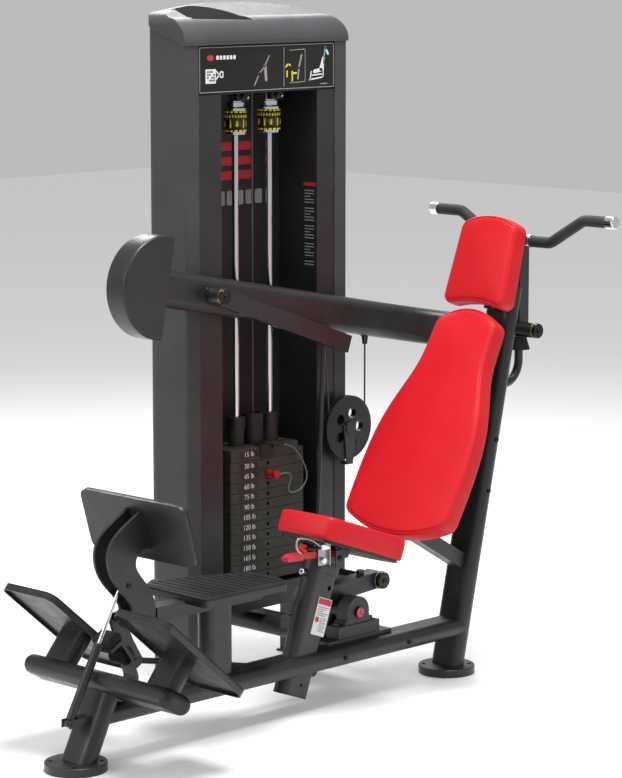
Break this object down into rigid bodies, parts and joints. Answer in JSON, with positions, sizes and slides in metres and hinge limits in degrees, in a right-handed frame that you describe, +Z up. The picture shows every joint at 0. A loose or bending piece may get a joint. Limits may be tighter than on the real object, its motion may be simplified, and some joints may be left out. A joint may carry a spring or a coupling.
{
  "type": "shoulder press machine",
  "caption": "Seated shoulder press machine with a swinging press arm, a weight stack in a tower, a foot-lever assist, and a sliding seat with red pads.",
  "frame": {"origin": "on the floor at the centre of the front foot", "axes": "+X the seated user's left, +Y rearwards from the foot lever to the back pad, +Z up"},
  "size_m": [0.856, 1.7679, 1.838],
  "materials": {
    "powder": "black textured powder coat",
    "powder_grey": "dark grey textured powder coat",
    "black_plastic": "moulded, fine grain",
    "tread_rubber": "ribbed tread",
    "rubber": "moulded",
    "vinyl_red": "grained upholstery vinyl",
    "board": "moulded backing board",
    "zinc": "zinc plated fasteners",
    "chrome": "polished",
    "plate_iron": "painted iron, slightly rough",
    "selector_red": "anodised look, knurled",
    "release_red": "moulded grip",
    "foam": "foam grip",
    "steel_cable": "nylon coated wire",
    "header": "printed panel",
    "lanyard": "coated cord"
  },
  "bodies": {
    "root": {"anchor_feet": "powder", "base_tubes": "powder", "seat_post": "powder", "tube_caps": "black_plastic", "frame_bolts": "zinc", "foot_plates": "powder", "foot_treads": "tread_rubber", "frame_brackets": "powder", "rubber_stops": "rubber", "pillow_blocks": "powder_grey", "arm_axle": "zinc", "tower_uprights": "powder", "side_covers": "powder_grey", "back_panel": "powder", "tower_base": "powder", "header_panel": "header", "top_lid": "powder_grey", "pulley_brackets": "powder", "guide_rods": "chrome", "resting_plates": "plate_iron", "back_pad": "vinyl_red", "head_pad": "vinyl_red", "pad_boards": "board", "pulley_cable": "steel_cable", "seat_fittings": "powder", "stack_cable": "steel_cable", "arm_cable": "steel_cable"},
    "arm": {"press_arm": "powder", "counterweight": "powder", "arm_fittings": "zinc"},
    "yoke": {"yoke_post": "powder", "handle_bar": "powder", "hand_grips": "foam", "bar_fittings": "chrome"},
    "stack": {"top_plate": "plate_iron", "lifted_plates": "plate_iron", "selector_stem": "zinc", "stack_caps": "black_plastic", "pin_lanyard": "lanyard"},
    "selector": {"selector_pin": "selector_red"},
    "front_weight": {"front_add_on_weight": "chrome"},
    "rear_weight": {"rear_add_on_weight": "chrome"},
    "side_pulley": {"side_pulley": "black_plastic"},
    "front_top_pulley": {"front_top_pulley": "black_plastic"},
    "rear_top_pulley": {"rear_top_pulley": "black_plastic"},
    "seat": {"seat_cushion": "vinyl_red", "seat_frame": "powder"},
    "release": {"release_lever": "release_red"},
    "lever": {"lever_plates": "powder", "lever_tread": "tread_rubber", "lever_pins": "zinc"},
    "gas_cylinder": {"gas_cylinder": "powder"},
    "gas_rod": {"gas_rod": "chrome"},
    "push_rod": {"push_rod": "powder"},
    "rocker": {"rocker_arm": "powder", "rocker_pins": "zinc"},
    "assist_rod": {"assist_rod": "powder"},
    "assist_crank": {"assist_crank": "powder"}
  },
  "joints": [
    {"name": "arm_swing", "type": "hinge", "parent": "root", "child": "arm", "pos_m": [-0.33, 0.757, 1.077], "axis": [1, 0, 0], "range_deg": [0, 34]},
    {"name": "yoke_swing", "type": "hinge", "parent": "arm", "child": "yoke", "pos_m": [0, 1.66, 0.93], "axis": [1, 0, 0], "range_deg": [-40, 0]},
    {"name": "stack_lift", "type": "slide", "parent": "root", "child": "stack", "axis": [0, 0, 1], "range_m": [0, 0.38], "deforming": ["stack_cable"]},
    {"name": "selector_pull", "type": "slide", "parent": "stack", "child": "selector", "axis": [1, 0, 0], "range_m": [0, 0.07]},
    {"name": "front_weight_drop", "type": "slide", "parent": "root", "child": "front_weight", "axis": [0, 0, 1], "range_m": [-0.38, 0]},
    {"name": "rear_weight_drop", "type": "slide", "parent": "root", "child": "rear_weight", "axis": [0, 0, 1], "range_m": [-0.38, 0]},
    {"name": "side_pulley_turn", "type": "hinge", "parent": "root", "child": "side_pulley", "pos_m": [-0.335, 1.313, 0.654], "axis": [1, 0, 0], "range_deg": [0, 300]},
    {"name": "front_top_pulley_turn", "type": "hinge", "parent": "root", "child": "front_top_pulley", "pos_m": [-0.434, 1.08, 1.665], "axis": [1, 0, 0], "range_deg": [-545, 0]},
    {"name": "rear_top_pulley_turn", "type": "hinge", "parent": "root", "child": "rear_top_pulley", "pos_m": [-0.434, 1.2005, 1.665], "axis": [1, 0, 0], "range_deg": [-545, 0]},
    {"name": "seat_height", "type": "slide", "parent": "root", "child": "seat", "axis": [0, 0.342, 0.9397], "range_m": [0, 0.12]},
    {"name": "seat_release", "type": "hinge", "parent": "seat", "child": "release", "pos_m": [0.03, 0.9, 0.408], "axis": [1, 0, 0], "range_deg": [-10, 0], "stiffness_Nm_per_rad": 3, "springref_deg": 8.59},
    {"name": "lever_push", "type": "hinge", "parent": "root", "child": "lever", "pos_m": [0, 0.2, 0.336], "axis": [1, 0, 0], "range_deg": [0, 10], "stiffness_Nm_per_rad": 60, "springref_deg": -22.92},
    {"name": "push_rod_pivot", "type": "hinge", "parent": "lever", "child": "push_rod", "pos_m": [-0.084, 0.262, 0.214], "axis": [1, 0, 0], "range_deg": [-12.2, 0]},
    {"name": "rocker_turn", "type": "hinge", "parent": "root", "child": "rocker", "pos_m": [-0.1, 1.005, 0.228], "axis": [1, 0, 0], "range_deg": [0, 6.1]},
    {"name": "assist_rod_pivot", "type": "hinge", "parent": "rocker", "child": "assist_rod", "pos_m": [-0.293, 1.145, 0.286], "axis": [1, 0, 0], "range_deg": [-7.1, 0]},
    {"name": "crank_turn", "type": "hinge", "parent": "root", "child": "assist_crank", "pos_m": [-0.28, 0.757, 1.077], "axis": [1, 0, 0], "range_deg": [0, 2]},
    {"name": "gas_cylinder_pivot", "type": "hinge", "parent": "root", "child": "gas_cylinder", "pos_m": [0, -0.022, 0.12], "axis": [1, 0, 0], "range_deg": [0, 2]},
    {"name": "gas_rod_slide", "type": "slide", "parent": "gas_cylinder", "child": "gas_rod", "axis": [0, 0.484, 0.8751], "range_m": [-0.0165, 0]}
  ],
  "couplings": [
    {"joint": "stack_lift", "follows": "arm_swing", "m_per_rad": 0.636},
    {"joint": "side_pulley_turn", "follows": "arm_swing", "ratio": 8.77},
    {"joint": "front_top_pulley_turn", "follows": "arm_swing", "ratio": -15.9},
    {"joint": "rear_top_pulley_turn", "follows": "arm_swing", "ratio": -15.9},
    {"joint": "push_rod_pivot", "follows": "lever_push", "ratio": -1.1978},
    {"joint": "rocker_turn", "follows": "lever_push", "ratio": 0.5634},
    {"joint": "assist_rod_pivot", "follows": "lever_push", "ratio": -0.6589},
    {"joint": "crank_turn", "follows": "lever_push", "ratio": 0.1765},
    {"joint": "gas_cylinder_pivot", "follows": "lever_push", "ratio": 0.1784},
    {"joint": "gas_rod_slide", "follows": "lever_push", "m_per_rad": -0.0933}
  ]
}
